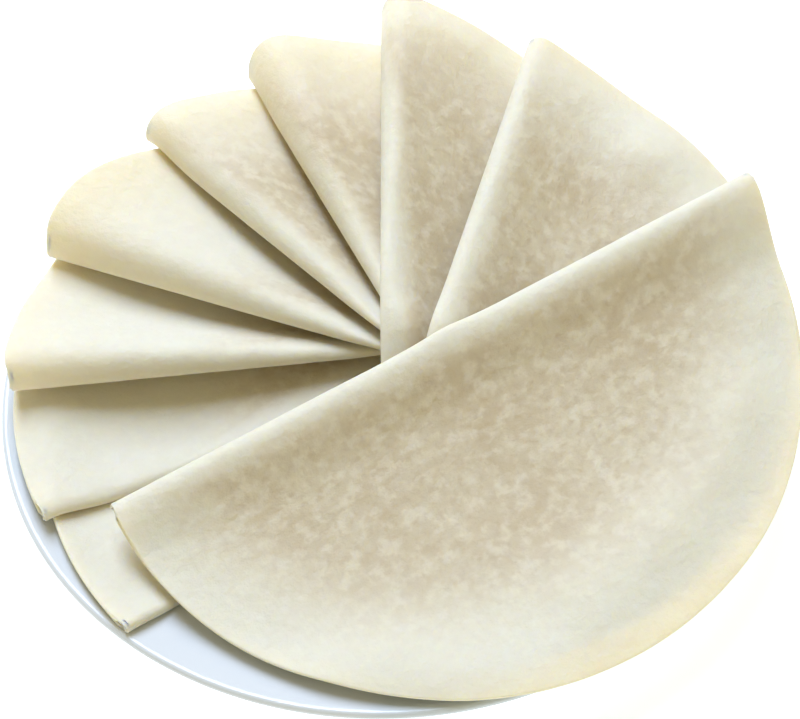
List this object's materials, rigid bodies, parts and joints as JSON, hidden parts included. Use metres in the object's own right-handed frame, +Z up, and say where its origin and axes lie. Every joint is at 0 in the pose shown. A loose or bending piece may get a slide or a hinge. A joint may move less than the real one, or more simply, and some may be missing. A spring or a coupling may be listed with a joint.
{
  "type": "stack of mandarin pancakes on a plate",
  "caption": "Thin wheat pancakes folded in half and laid in an overlapping fan on a round white porcelain plate.",
  "frame": {"origin": "middle of the footprint, on the table that the plate stands on", "axes": "+Z up, +Y towards the back of the plate, where the fan stands highest, +X to the right"},
  "size_m": [0.2062, 0.2034, 0.0618],
  "materials": {
    "plate": "glossy white glaze",
    "pancake": "soft matte dough, faintly mottled"
  },
  "bodies": {
    "root": {"plate": "plate", "pancake_1": "pancake", "pancake_2": "pancake", "pancake_3": "pancake", "pancake_4": "pancake", "pancake_5": "pancake", "pancake_6": "pancake", "pancake_7": "pancake", "pancake_8": "pancake", "pancake_9": "pancake"}
  },
  "joints": []
}
